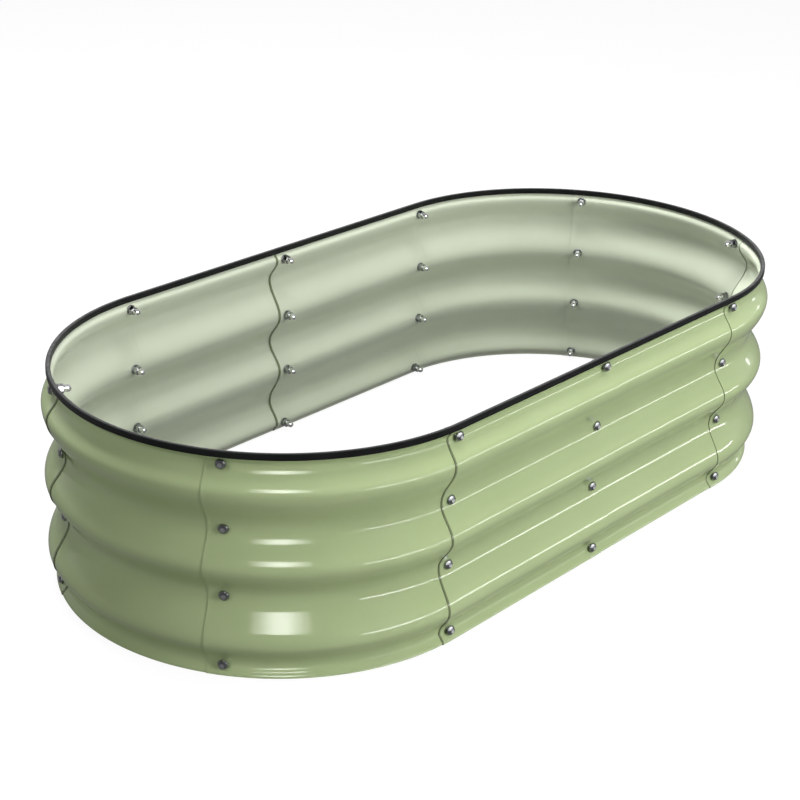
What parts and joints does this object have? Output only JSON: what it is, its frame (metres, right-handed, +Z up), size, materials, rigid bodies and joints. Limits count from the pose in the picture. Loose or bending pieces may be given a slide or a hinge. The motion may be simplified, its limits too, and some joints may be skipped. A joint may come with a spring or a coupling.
{
  "type": "raised garden bed",
  "caption": "Oval raised garden bed of bolted, corrugated sheet steel panels with a rubber strip round the rim, open at the top and the bottom.",
  "frame": {"origin": "middle of the bed on the ground, at the centre of the box round it", "axes": "+X along the bed, +Z up, the front side of the picture at -Y"},
  "size_m": [1.2191, 0.6176, 0.2977],
  "materials": {
    "painted_sheet": "glossy sage green powder coat",
    "black_rubber": "satin extruded rubber",
    "bolt_steel": "bright zinc plate",
    "washer_steel": "zinc plate",
    "nut_steel": "bright zinc plate"
  },
  "bodies": {
    "root": {"front_right_side_panel": "painted_sheet", "front_right_corner_panel": "painted_sheet", "right_end_panel": "painted_sheet", "back_right_corner_panel": "painted_sheet", "back_right_side_panel": "painted_sheet", "back_left_side_panel": "painted_sheet", "back_left_corner_panel": "painted_sheet", "left_end_panel": "painted_sheet", "front_left_corner_panel": "painted_sheet", "front_left_side_panel": "painted_sheet", "rim_strip": "black_rubber", "front_middle_bolts": "bolt_steel", "front_middle_washers": "washer_steel", "front_middle_cap_nuts": "nut_steel", "front_right_bolts": "bolt_steel", "front_right_washers": "washer_steel", "front_right_cap_nuts": "nut_steel", "right_end_front_bolts": "bolt_steel", "right_end_front_washers": "washer_steel", "right_end_front_cap_nuts": "nut_steel", "right_end_back_bolts": "bolt_steel", "right_end_back_washers": "washer_steel", "right_end_back_cap_nuts": "nut_steel", "back_right_bolts": "bolt_steel", "back_right_washers": "washer_steel", "back_right_cap_nuts": "nut_steel", "back_middle_bolts": "bolt_steel", "back_middle_washers": "washer_steel", "back_middle_cap_nuts": "nut_steel", "back_left_bolts": "bolt_steel", "back_left_washers": "washer_steel", "back_left_cap_nuts": "nut_steel", "left_end_back_bolts": "bolt_steel", "left_end_back_washers": "washer_steel", "left_end_back_cap_nuts": "nut_steel", "left_end_front_bolts": "bolt_steel", "left_end_front_washers": "washer_steel", "left_end_front_cap_nuts": "nut_steel", "front_left_bolts": "bolt_steel", "front_left_washers": "washer_steel", "front_left_cap_nuts": "nut_steel"}
  },
  "joints": []
}
